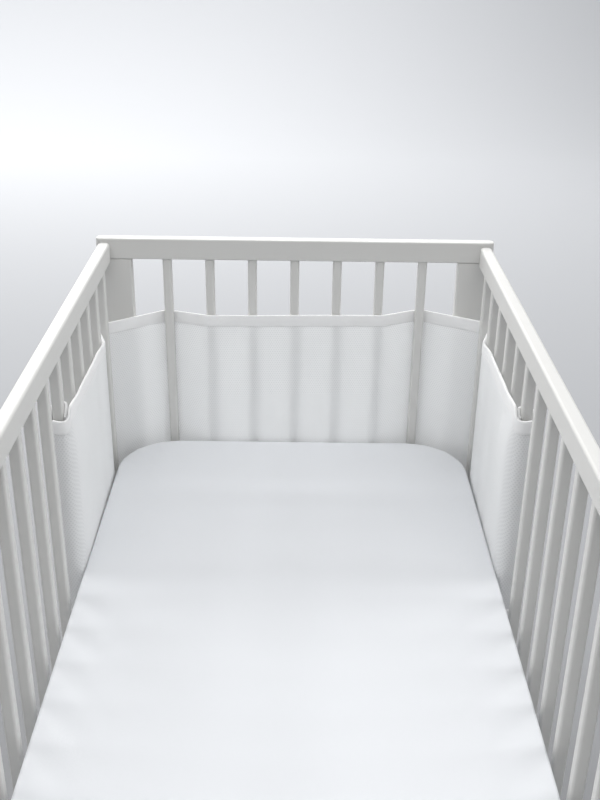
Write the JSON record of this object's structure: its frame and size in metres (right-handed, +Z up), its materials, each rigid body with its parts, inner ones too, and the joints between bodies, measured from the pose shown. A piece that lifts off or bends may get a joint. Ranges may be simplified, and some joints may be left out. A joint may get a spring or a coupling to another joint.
{
  "type": "crib bumper on a crib with a mattress",
  "caption": "Breathable mesh crib bumper laced in and out of the slats round a crib's head end, its ends wrapped round a side slat; slatted crib and mattress included.",
  "frame": {"origin": "on the floor under the middle of the crib", "axes": "+Y along the crib to its head end, where the bumper is; +X across it; +Z up"},
  "size_m": [0.66, 1.2634, 0.85],
  "materials": {
    "white_paint": "satin paint",
    "bare_wood": "bare",
    "fitted_sheet": "matte",
    "spacer_mesh": "matte, semi-sheer",
    "edge_tape": "matte",
    "hook_tape": "matte"
  },
  "bodies": {
    "root": {"base_board": "bare_wood", "bottom_tape": "edge_tape", "bumper_mesh": "spacer_mesh", "closure_left": "hook_tape", "closure_right": "hook_tape", "foot_panel": "white_paint", "foot_post_left": "white_paint", "foot_post_right": "white_paint", "head_low_rail": "white_paint", "head_post_left": "white_paint", "head_post_right": "white_paint", "head_slat_1": "white_paint", "head_slat_2": "white_paint", "head_slat_3": "white_paint", "head_slat_4": "white_paint", "head_slat_5": "white_paint", "head_slat_6": "white_paint", "head_slat_7": "white_paint", "head_top_rail": "white_paint", "mattress": "fitted_sheet", "side_low_rail_left": "white_paint", "side_low_rail_right": "white_paint", "side_slat_left_01": "white_paint", "side_slat_left_02": "white_paint", "side_slat_left_03": "white_paint", "side_slat_left_04": "white_paint", "side_slat_left_05": "white_paint", "side_slat_left_06": "white_paint", "side_slat_left_07": "white_paint", "side_slat_left_08": "white_paint", "side_slat_left_09": "white_paint", "side_slat_left_10": "white_paint", "side_slat_left_11": "white_paint", "side_slat_left_12": "white_paint", "side_slat_left_13": "white_paint", "side_slat_left_14": "white_paint", "side_slat_left_15": "white_paint", "side_slat_left_16": "white_paint", "side_slat_left_17": "white_paint", "side_slat_right_01": "white_paint", "side_slat_right_02": "white_paint", "side_slat_right_03": "white_paint", "side_slat_right_04": "white_paint", "side_slat_right_05": "white_paint", "side_slat_right_06": "white_paint", "side_slat_right_07": "white_paint", "side_slat_right_08": "white_paint", "side_slat_right_09": "white_paint", "side_slat_right_10": "white_paint", "side_slat_right_11": "white_paint", "side_slat_right_12": "white_paint", "side_slat_right_13": "white_paint", "side_slat_right_14": "white_paint", "side_slat_right_15": "white_paint", "side_slat_right_16": "white_paint", "side_slat_right_17": "white_paint", "side_top_rail_left": "white_paint", "side_top_rail_right": "white_paint", "top_tape": "edge_tape"}
  },
  "joints": []
}
